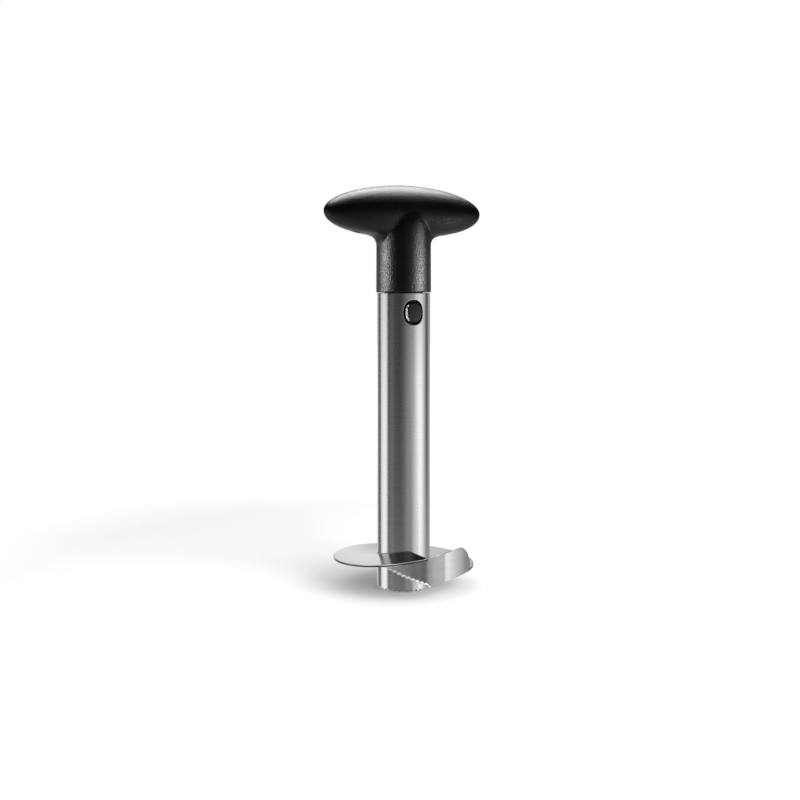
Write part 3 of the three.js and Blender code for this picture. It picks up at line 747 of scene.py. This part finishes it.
def drawn_out(z, along):
    """
    A loop of the lower shell. In front and behind, the round stem runs up into the bar's belly, and
    towards the bar's two ends a fillet joins them.
    """
    share = (along - STEM_RADIUS) / (BAR_HALF_LENGTH - STEM_RADIUS)
    climb = (z - FILLET_FOOT) / (EQUATOR - FILLET_FOOT)
    crown = STEM_RADIUS - CROWN_FADE * climb**CROWN_FADE_POWER
    blend = CROWN_BLEND * fade(climb, 0, 0.25) + 1e-6

    def reach(b):
        outline = outline_reach(b, BAR_HALF_LENGTH, BAR_HALF_WIDTH)
        belly = outline * along / BAR_HALF_LENGTH
        filleted = STEM_RADIUS + share * (outline - STEM_RADIUS)
        side = filleted + fade(abs(sin(b)), 0.3, 0.95) * (belly - filleted)
        near = max(0.0, blend - abs(side - crown))
        return max(side, crown) + near * near / (4 * blend)

    return loop_at(z, reach)


def lower_profile():
    """Height and reach along the bar, from the fillet's foot to the bar's widest line."""
    profile = []
    for step in range(18):
        a = radians(FILLET_END * step / 17)
        rise, out = FILLET_RADIUS * sin(a), FILLET_RADIUS * (1 - cos(a))
        profile.append((FILLET_FOOT + rise, STEM_RADIUS + out))
    p = UNDERSIDE_POWER
    z0, r0 = profile[-1]
    slope0 = radians(90 - FILLET_END)
    z1 = EQUATOR - BELLY_SHARE * BAR_BOTTOM
    r1 = BAR_HALF_LENGTH * (1 - BELLY_SHARE**p) ** (1 / p)
    steep = BAR_HALF_LENGTH * BELLY_SHARE ** (p - 1) * (1 - BELLY_SHARE**p) ** (1 / p - 1)
    slope1 = atan2(BAR_BOTTOM, steep)
    span = hypot(z1 - z0, r1 - r0)
    for t in [step / 6 for step in range(1, 7)]:
        h = (2 * t**3 - 3 * t**2 + 1, t**3 - 2 * t**2 + t, -2 * t**3 + 3 * t**2, t**3 - t**2)
        z = h[0] * z0 + h[1] * span * sin(slope0) + h[2] * z1 + h[3] * span * sin(slope1)
        r = h[0] * r0 + h[1] * span * cos(slope0) + h[2] * r1 + h[3] * span * cos(slope1)
        profile.append((z, r))
    for step in range(1, 31):
        a = asin(BELLY_SHARE ** (p / 2)) * (1 - step / 30)
        z = EQUATOR - sin(a) ** (2 / p) * BAR_BOTTOM
        profile.append((z, BAR_HALF_LENGTH * cos(a) ** (2 / p)))
    return profile


def grip_hollow(direction, height, boss_low, boss_high):
    """The room inside a shell, with a boss left standing round each grip screw."""
    rings = [bar_loop(EQUATOR - direction * 2, 1.0, GRIP_WALL, 96)]
    rings += dome(quarter(13)[:-1], direction * height, GRIP_WALL, 96)
    hollow = solid("hollow", *skin(rings))
    for x in (-SCREW_REACH, SCREW_REACH):
        cut(hollow, circle(SCREW_BOSS_RADIUS, 48, x), boss_low, boss_high)
    return hollow


def make_lower_shell():
    profile = lower_profile()
    foot_radius = STEM_RADIUS + STEM_FLARE
    low, high = STEM_FOOT + STEM_ROUNDING, profile[0][0]
    stem = [(STEM_FOOT, foot_radius - STEM_ROUNDING - 0.25)]
    stem += [(low - STEM_ROUNDING * cos(a), foot_radius - STEM_ROUNDING * (1 - sin(a))) for a in quarter(5)]
    for share in (0.02, 0.2, 0.4, 0.6, 0.8, 0.98):
        stem.append((low + share * (high - low), foot_radius - STEM_FLARE * share))
    rings = [loop_at(z, lambda b, r=radius: r) for z, radius in stem]
    rings += [drawn_out(z, along) for z, along in profile[:-1]]
    rings.append(drawn_out(EQUATOR - SEAM / 2 - SEAM_LIP, BAR_HALF_LENGTH - 0.001))
    rings.append(drawn_out(EQUATOR - SEAM / 2, BAR_HALF_LENGTH - SEAM_LIP))
    shell = solid("grip_lower_skin", *skin(rings))
    combine(shell, grip_hollow(-1, BAR_BOTTOM - GRIP_WALL, STEM_FOOT, EQUATOR - SEAM), "DIFFERENCE")
    cut(shell, hexagon(SOCKET_ACROSS_FLATS), STEM_FOOT - 2, SOCKET_TOP)
    cut(shell, circle(WASHER_SEAT[0], 48), WASHER_SEAT[1], EQUATOR)
    cut(shell, circle(BOLT_HOLE, 48), 204, 216)
    head_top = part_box("grip_screw_left")[0].z / MM + SCREW_HEAD_HEIGHT + SEAT_GAP
    for x in (-SCREW_REACH, SCREW_REACH):
        cut(shell, circle(SCREW_HEAD_HOLE, 64, x), STEM_FOOT, head_top)
        cut(shell, circle(SCREW_PILOT, 32, x), STEM_FOOT, EQUATOR + 1)
    finish_piece(shell, "grip", GRIP, ["grip_lower_shell"], 35)


def make_upper_shell():
    rings = [bar_loop(EQUATOR + SEAM / 2, inset=SEAM_LIP), bar_loop(EQUATOR + SEAM / 2 + SEAM_LIP)]
    angles = [a for a in quarter(40)[1:-1] if BAR_TOP * sin(a) ** (2 / DOME_POWER) >= 2 * SEAM_LIP]
    points, faces = skin(rings + dome(angles, BAR_TOP), caps=False)
    top = len(points)
    last = top - GRIP_STEPS
    points.append((0, 0, EQUATOR + BAR_TOP))
    faces.append(tuple(range(GRIP_STEPS))[::-1])
    faces += [(last + i, last + (i + 1) % GRIP_STEPS, top) for i in range(GRIP_STEPS)]
    shell = solid("grip_upper_skin", points, faces)
    combine(shell, grip_hollow(1, BAR_TOP - GRIP_WALL, EQUATOR - 3, EQUATOR + BAR_TOP), "DIFFERENCE")
    pilot_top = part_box("grip_screw_left")[1].z / MM + SEAT_GAP
    for x in (-SCREW_REACH, SCREW_REACH):
        cut(shell, circle(SCREW_PILOT, 32, x), EQUATOR - 3, pilot_top)
    finish_piece(shell, "grip", GRIP, ["grip_upper_shell"], 35)


def make_spigot():
    profile = [(14.0, SPIGOT_FOOT), (14.5, SPIGOT_FOOT + 0.1), (14.75, SPIGOT_FOOT + 0.5)]
    profile += [(SPIGOT_RADIUS, z) for z in (SPIGOT_FOOT + 0.9, 150.6, 177.4, 177.8)] + [(14.6, 178.1)]
    body = solid("spigot_skin", *lathe(profile))
    join(body, hexagon(NECK_ACROSS_FLATS), 176, 204.3)
    cut(body, rectangle(*CAVITY_HALVES), 147, BUTTON_Z + 8.3)
    cut(body, hexagon(NUT_ACROSS_FLATS), 173, BUTTON_Z + 12.9)
    cut(body, circle(BOLT_HOLE, 32), 178, 206)
    angles = [TURN * i / 120 for i in range(120)]
    cut(body, oval(BUTTON_HALF_WIDTH + 0.3, BUTTON_HALF_HEIGHT + 0.3, angles, BUTTON_Z), -17, 17, "y")
    for x in (-PLUG_SCREW_REACH, PLUG_SCREW_REACH):
        cut(body, circle(PLUG_SCREW_PILOT, 24, x), 147, 159.4)
    finish_piece(body, "grip", INNER, ["latch_spigot"], 32)


def make_plug():
    top = SPIGOT_FOOT - SEAT_GAP
    foot = top - PLUG_THICKNESS
    profile = [(13.6, foot), (14.4, foot + 0.12), (14.7, foot + 0.4)]
    profile += [(SPIGOT_RADIUS, z) for z in (foot + 0.8, foot + 1.1, top - 0.35, top - 0.2)] + [(14.6, top)]
    body = solid("end_plug_skin", *lathe(profile))
    join(body, rectangle(*PLUG_BLOCK_HALVES), top - 0.5, top + 5)
    join(body, rectangle(*DIVIDER_HALVES), top + 4, BUTTON_Z + 4.4)
    join(body, circle(STUB_RADIUS, 32, 0, BUTTON_Z), -2, 2, "y")
    for x in (-PLUG_SCREW_REACH, PLUG_SCREW_REACH):
        cut(body, circle(PLUG_SCREW_HEAD_HOLE, 40, x), foot - 1, foot + 1.7)
        cut(body, circle(PLUG_SCREW_PILOT, 24, x), foot + 1, top + 2)
    finish_piece(body, "grip", INNER, ["spigot_end_plug"], 32)


def make_button(name, body_name, node, sign):
    """A button: a crowned oval head with a rounded rim, a flange and a stub for its spring."""
    shoulder = BUTTON_FACE - BUTTON_CROWN - BUTTON_ROUNDING
    rim = BUTTON_MARGIN + BUTTON_SLANT + BUTTON_ROUNDING
    # How far each ring is set in, its scale, and how far out it lies
    stops = [(BUTTON_MARGIN, 1, BUTTON_BACK), (BUTTON_MARGIN, 1, BUTTON_SLANT_FOOT)]
    for share in (0.04, 0.5, 0.96, 1.0):
        reach = BUTTON_SLANT_FOOT + (shoulder - BUTTON_SLANT_FOOT) * share
        stops.append((BUTTON_MARGIN + BUTTON_SLANT * share, 1, reach))
    for a in quarter(8)[1:]:
        stops.append((rim - BUTTON_ROUNDING * cos(a), 1, shoulder + BUTTON_ROUNDING * sin(a)))
    for scale in (0.95, 0.85, 0.7, 0.5, 0.3, 0.12, 0.03):
        stops.append((rim, scale, BUTTON_FACE - BUTTON_CROWN * scale**2))
    angles = [TURN * i / 144 for i in range(144)]
    rings = []
    for inset, scale, reach in stops:
        halves = (BUTTON_HALF_WIDTH - inset) * scale, (BUTTON_HALF_HEIGHT - inset) * scale
        rings.append([(x, sign * reach, z) for x, z in oval(*halves, angles, BUTTON_Z)])
    piece = solid(name, *skin(rings))
    join(piece, rectangle(*FLANGE_HALVES, BUTTON_Z), sign * 8.9, sign * 10.9, "y")
    join(piece, circle(STUB_RADIUS, 32, 0, BUTTON_Z), sign * 7.9, sign * 9.5, "y")
    finish_piece(piece, body_name, BUTTON, [node], 32)


def make_spring(name, node, sign):
    """A round-wire coil, which shortens as its button is pressed."""
    near, far = SPRING_ENDS[0] + SPRING_WIRE, SPRING_ENDS[1] - SPRING_WIRE
    rings = []
    for share in [k / 240 for k in range(241)]:
        angle = TURN * SPRING_TURNS * share
        outward = np.array((cos(angle), 0.0, sin(angle)))
        centre = SPRING_RADIUS * outward + np.array((0.0, sign * (near + share * (far - near)), BUTTON_Z))
        rings.append(wire_ring(centre, SPRING_WIRE, outward, np.array((0.0, 1.0, 0.0))))
    piece = finish_piece(solid(name, *skin(rings)), "grip", SPRING, [node], 60)
    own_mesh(piece)


def dress(nodes, material):
    """Gives the solids' own fasteners a material."""
    for node in nodes:
        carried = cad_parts[node]
        carried.data.materials.clear()
        carried.data.materials.append(material)


make_tube()
for steel in (make_blade(), make_band()):
    steel.visible_glossy = False
make_welds()
make_lower_shell()
make_upper_shell()
make_spigot()
make_plug()
make_button("button_front_skin", "front_button", "button_front", -1)
make_button("button_rear_skin", "rear_button", "button_rear", 1)
make_spring("spring_front_wire", "spring_front", -1)
make_spring("spring_rear_wire", "spring_rear", 1)
dress(("stem_bolt", "bolt_washer", "bolt_nut"), FASTENER)
dress(("plug_screw_left", "plug_screw_right"), FASTENER)
dress(("grip_screw_left", "grip_screw_right"), BLACK_STEEL)


# Studio, in metres. Bearings are counted from the camera's side, and 90 is to its right.
VIEW_AZIMUTH = radians(22.5)
CAMERA_DISTANCE = 0.6285
CAMERA_HEIGHT = 0.1753
CAMERA_LENS = 46.893
CAMERA_SHIFT = -0.06
CAMERA_TILT = radians(2.991)
CAMERA_TURN = radians(0.197)
TOWARDS_CAMERA = Vector((-sin(VIEW_AZIMUTH), -cos(VIEW_AZIMUTH), 0))
TO_THE_RIGHT = Vector((cos(VIEW_AZIMUTH), -sin(VIEW_AZIMUTH), 0))

GRIP_PIECES = ("grip_lower_skin", "grip_upper_skin")
BUTTON_PIECES = ("button_front_skin", "button_rear_skin")
BLADE_PIECES = ("ring_blade_skin", "rim_cutter_skin")

# Name, bearing, distance, height, two sizes, brightness, height that it faces, and pieces that it lights
SOFTBOXES = [
    ("top_box", -170, 0.25, 0.85, 0.8, 0.5, 13.5, 0.24, GRIP_PIECES),
    ("edge_box", 0, 0.3, 0.85, 1.0, 0.3, 13.0, 0.02, BLADE_PIECES),
    ("left_strip", -84, 0.9, 0.235, 0.18, 0.15, 145.0, 0.2, GRIP_PIECES),
    ("right_strip", 74, 0.9, 0.28, 0.13, 0.26, 150.0, 0.2, GRIP_PIECES),
    ("button_strip", -86, 0.9, 0.4, 0.14, 1.5, 75.0, 0.17, BUTTON_PIECES),
    ("edge_left", -112, 0.45, 0.9, 0.7, 0.6, 3.2, 0.02, BLADE_PIECES),
    ("edge_right", 125, 0.45, 0.9, 0.7, 0.6, 2.5, 0.02, BLADE_PIECES),
    ("key_box", 45, 0.9, 0.5, 0.8, 0.6, 6.4, 0.12, ()),
]

# Small lamps left of the front button: name, angle above the horizon, distance and brightness
ARC_BEARING = -84
ARC = [("arc_high", 42, 0.035, 24.0), ("arc_low", -15, 0.12, 34.0), ("arc_lower", -33, 0.12, 32.0)]
ARC += [("arc_foot", -52, 0.12, 26.0)]

# The wall of cards and cloths that shiny surfaces show: bearing and brightness. The stops were adjusted
# against rows of grey values of the photograph and of the render.
CARDS = [
    (-222, 0.5), (-210, 0.45), (-192, 0.5), (-185, 0.86), (-183.4, 0.95), (-182.5, 0.8), (-181.7, 0.4),
    (-180.6, 0.5), (-178.6, 0.8), (-176.8, 0.92), (-175.6, 1.0), (-174.8, 1.15), (-173.5, 1.16),
    (-171.5, 1.0), (-169, 0.86), (-160, 0.86), (-151, 0.95), (-150, 0.38), (-134, 0.36), (-128, 0.04),
    (-119.5, 0.04), (-115.5, 1.0), (-106, 1.3), (-96, 1.5), (-79, 1.5), (-75, 0.7), (-72, 0.08), (-62, 0.1),
    (-53, 0.25), (-44, 0.13), (-33, 0.07), (-14, 0.05), (2, 0.17), (17, 0.42), (32, 0.68), (44, 0.76),
    (52, 1.2), (62, 1.75), (80, 1.85), (90, 1.4), (102, 0.65), (110, 0.25), (116, 0.08), (124, 0.08),
    (130, 0.35), (138, 0.5),
]
# Distance and height of the wall's rows of points
CARD_ROWS = [(0.02, -1.2), (0.6, -1.2)]
CARD_ROWS += [(1.0, z) for z in (-1.0, -0.6, -0.45, -0.3, -0.16, -0.11, 0.2, 0.235, 0.27, 1.5)]
CARD_ROWS += [(0.62, 2.1), (0.02, 2.2)]
DARK_FRONT = (-72, 100)
DIM_LEFT = -112
LOW_GLOW = 0.6

# What the rim cutter shows towards the camera: bearing on the cutter, and brightness that it mirrors. The
# stops follow the brightness read from the photograph along the cutter, and were then adjusted, so they
# fit that one view.
MAT = [
    (-26, 0.41), (-8, 0.4), (-1.2, 0.36), (4.9, 0.33), (13, 0.3), (16.5, 0.16), (18.0, 0.16), (18.8, 0.58),
    (23, 0.82), (29, 0.96), (32.5, 0.82), (33.2, 0.46), (34.0, 0.46), (34.6, 2.1), (38.5, 1.55),
    (42.7, 1.28), (50, 0.96), (60, 0.46),
]
MAT_SPLIT = 9.0
MAT_STEP = 2.5
MAT_HEIGHT = 18
BELOW_FLOOR = -0.001


def studio_point(bearing, distance, height):
    """A point in metres round the object."""
    a = radians(bearing)
    return (TOWARDS_CAMERA * cos(a) + TO_THE_RIGHT * sin(a)) * distance + Vector((0, 0, height))


def look_up(value, stops):
    return float(np.interp(value, *zip(*stops)))


def area_lamp(name, width, height, strength, pieces):
    """A lamp that is only mirrored, by the pieces given. With no pieces given, it only lights, and all."""
    lamp = bpy.data.lights.new(name, "AREA")
    lamp.shape = "RECTANGLE"
    lamp.size, lamp.size_y = width, height
    lamp.energy = strength * width * height
    box = bpy.data.objects.new(name, lamp)
    bpy.context.scene.collection.objects.link(box)
    box.visible_camera = False
    box.visible_glossy = bool(pieces)
    box.visible_diffuse = not pieces
    if pieces:
        # Lamps for the same pieces share one collection
        lit = bpy.data.collections.get("lit_" + pieces[0])
        if lit is None:
            lit = bpy.data.collections.new("lit_" + pieces[0])
            for piece in pieces:
                lit.objects.link(bpy.data.objects[piece])
        box.light_linking.receiver_collection = lit
    return box


def softbox(name, spot, aim, width, height, radiance, pieces):
    """A lamp at a spot that faces another."""
    box = area_lamp(name, width, height, radiance * pi, pieces)
    box.location = spot
    box.rotation_euler = (aim - spot).to_track_quat("-Z", "Y").to_euler()


def floor_lamp(name, middle, along, width, length, radiance):
    """A flat lamp for the blade that faces up, with its length along a direction."""
    box = area_lamp(name, width, length, radiance * 4, BLADE_PIECES)
    outward = Vector((along.x, along.y, 0)).normalized()
    sideways = Vector((-outward.y, outward.x, 0))
    turned = Matrix((sideways, outward, Vector((0, 0, -1)))).transposed().to_4x4()
    box.matrix_world = Matrix.Translation(middle) @ turned


def stage_sheet(name, points, faces, material, unseen_by, levels=()):
    """A studio sheet, unseen by some rays, that can carry a brightness at each of its points."""
    mesh = bpy.data.meshes.new(name)
    mesh.from_pydata([tuple(p) for p in points], [], faces)
    if levels:
        mesh.attributes.new("level", "FLOAT", "POINT").data.foreach_set("value", levels)
    mesh.materials.append(material)
    sheet = bpy.data.objects.new(name, mesh)
    bpy.context.scene.collection.objects.link(sheet)
    for ray in unseen_by:
        setattr(sheet, "visible_" + ray, False)


def hang(name, bearings, rows, material, level=None, shadow=False):
    """A sheet round the object that only shiny surfaces show. Its faces' order decides its front side."""
    count = len(bearings)
    spots = [(b, distance, z) for distance, z in rows for b in bearings]
    corners = [row * count + i for row in range(len(rows) - 1) for i in range(count - 1)]
    stage_sheet(
        name,
        [studio_point(*spot) for spot in spots],
        [(a, a + 1, a + count + 1, a + count) for a in corners],
        material,
        ("camera", "diffuse", "transmission") + (() if shadow else ("shadow",)),
        [level(b, z) for b, distance, z in spots] if level else (),
    )


def make_world():
    """White, and a little dimmer as light than as seen."""
    world = bpy.data.worlds.new("studio")
    bpy.context.scene.world = world
    n = Nodes(world)
    background = n.tree.nodes["Background"].inputs
    background["Color"].default_value = (1, 1, 1, 1)
    n.give(background["Strength"], n.remap(n.seen(), 0, 1, 0.88, 1.0))


def make_floor():
    """A pale floor that glows more and more away from the object, so that its end doesn't show."""
    n = new_material("pale_floor")
    spread = n.remap(n.length(n.position()), 0.25, 0.9, 0.02, 1.0)
    n.surface(
        Base_Color=(0.88, 0.88, 0.88, 1),
        Roughness=0.9,
        Specular_IOR_Level=0.0,
        Emission_Color=(1, 1, 1, 1),
        Emission_Strength=n.math("MULTIPLY", n.seen(), spread),
    )
    corners = [(x, y, 0) for x, y in rectangle(3.0, 3.0)]
    stage_sheet("floor", corners, [(0, 1, 2, 3)], n.owner, ["glossy"])


def mirrored(bearing, height, reach=None):
    """Where the camera's ray goes from a point of the rim cutter: to the floor, or to a wall at a reach."""
    a = radians(bearing)
    eye = np.array((0.0, CAMERA_DISTANCE, CAMERA_HEIGHT)) / MM
    outward = np.array((sin(a), cos(a), 0.0))
    spot = outward * BLADE_RADIUS + np.array((0, 0, height))
    ray = spot - eye
    ray = ray - 2 * ray.dot(outward) * outward
    if reach is None:
        share = -height / ray[2]
    else:
        along = ray[:2].dot(ray[:2])
        half = spot[:2].dot(ray[:2]) / along
        share = sqrt(half**2 + ((reach / MM) ** 2 - BLADE_RADIUS**2) / along) - half
    x, y = (spot + ray * share)[:2] * MM
    return degrees(atan2(x, y)), hypot(x, y)


def floor_spot(bearing, height):
    return studio_point(*mirrored(bearing, height), BELOW_FLOOR)


LOW_CARDS = [(mirrored(b, MAT_HEIGHT, 1.0)[0], level) for b, level in MAT]
LOW_START = mirrored(MAT_SPLIT, MAT_HEIGHT, 1.0)[0]


def card_brightness(bearing, height):
    level = look_up(bearing, CARDS)
    low = look_up(bearing, LOW_CARDS)
    level += (low - level) * fade(bearing, LOW_START - 6, LOW_START) * fade(-height, 0.11, 0.16)
    if height < -0.9:
        return 0.8
    if -100 < bearing < 20:
        level += max(0.0, LOW_GLOW - level) * fade(-height, 0.3, 0.45) * (1 - fade(bearing, -20, 20))
    if bearing < -151:
        return level + (1.0 - level) * fade(abs(height), 0.4, 0.7)
    if DARK_FRONT[0] < bearing < DARK_FRONT[1]:
        return level + (min(level, 0.015) - level) * fade(height, 0.19, 0.28)
    if DIM_LEFT < bearing <= DARK_FRONT[0]:
        return level * (1 - 0.6 * fade(height, 0.19, 0.28))
    return level


def make_cards():
    n = new_material("cards_cloth")
    n.only_show(n.add("Emission", {"Strength": n.level()}))
    first, last = CARDS[0][0], CARDS[-1][0]
    bearings = [first + (last - first) * i / 720 for i in range(721)]
    hang("cards", bearings, CARD_ROWS, n.owner, card_brightness)


def make_mat():
    """Strips of light on the patch of floor that the rim cutter mirrors towards the camera."""
    stops = (8.0, 12.0, 18.0, 32.0)
    for i in range(14):
        b = -25 + MAT_STEP * i
        level = look_up(b, MAT) - look_up(mirrored(b, MAT_HEIGHT, 1.0)[0], CARDS)
        for row, (low, high) in enumerate(zip(stops, stops[1:])):
            near, far = floor_spot(b, low), floor_spot(b, high)
            half = (low + high) / 2
            width = (floor_spot(b + MAT_STEP / 2, half) - floor_spot(b - MAT_STEP / 2, half)).length
            floor_lamp(f"mat_{i:02}_{row}", (near + far) / 2, far - near, width, (far - near).length, level)
    for i in range(10):
        spot = studio_point(-21 + 6 * i, 0.05, BELOW_FLOOR)
        floor_lamp(f"tooth_mat_{i:02}", spot, spot, 0.0052, 0.012, 0.45 + 0.65 * fade(i, 2, 8))


def make_skirt():
    """A black cloth round the grip's front and sides that keeps the side lamps off its bar."""
    n = new_material("skirt_cloth")
    n.surface(Base_Color=(0.002, 0.002, 0.002, 1), Roughness=1.0, Specular_IOR_Level=0.0)
    bearings = [-165 + 330 * i / 96 for i in range(97)]
    hang("skirt", bearings, [(0.13, 0.215), (0.13, 0.32)], n.owner, shadow=True)


def make_shade():
    """Painted shade: a black sheet just before the tube's right half that only the blade's top shows, as a
    dark patch beside its high end. Its back is clear.
    """
    n = new_material("painted_shade_sheet")
    front = n.math("SUBTRACT", 1.0, n.add("NewGeometry").outputs["Backfacing"])
    clear, black = n.add("BsdfTransparent"), n.add("Emission", {"Strength": 0.0})
    cover = n.math("MULTIPLY", front, n.level())
    n.only_show(n.add("MixShader", {0: cover, 1: clear.outputs[0], 2: black.outputs[0]}))
    rows = [(0.0172, z) for z in (0.0245, 0.035, 0.05, 0.07)]
    # Painted shade, strongest before the tube's right half
    hang("shade", [-14 + 2 * i for i in range(45)], rows, n.owner, lambda b, z: 0.94 * fade(b, -3, 24))


def make_button_arc():
    """Small lamps from above the front button to below it, that its rounded rim shows as a thin line."""
    front = Vector((0, -BUTTON_FACE * MM, BUTTON_Z * MM))
    towards = studio_point(ARC_BEARING, 1.0, 0)
    for name, rise, distance, radiance in ARC:
        a = radians(rise)
        spot = front + (towards * cos(a) + Vector((0, 0, sin(a)))) * distance
        size = distance * 0.25
        softbox(name, spot, front, size, size * 1.3, radiance, BUTTON_PIECES)


def make_camera():
    camera = bpy.data.cameras.new("camera")
    camera.sensor_width = 36
    camera.lens = CAMERA_LENS
    camera.shift_y = CAMERA_SHIFT
    camera.clip_start, camera.clip_end = 0.01, 20
    holder = bpy.data.objects.new("camera", camera)
    bpy.context.scene.collection.objects.link(holder)
    holder.location = studio_point(0, CAMERA_DISTANCE, CAMERA_HEIGHT)
    holder.rotation_euler = (pi / 2 - CAMERA_TILT, 0, CAMERA_TURN - VIEW_AZIMUTH)
    bpy.context.scene.camera = holder


make_world()
make_floor()
make_cards()
make_mat()
make_skirt()
make_shade()
make_button_arc()
for name, bearing, distance, height, width, tall, radiance, aim, pieces in SOFTBOXES:
    spot = studio_point(bearing, distance, height)
    softbox(name, spot, Vector((0, 0, aim)), width, tall, radiance, pieces)
make_camera()

scene = bpy.context.scene
scene.view_settings.view_transform = "Standard"
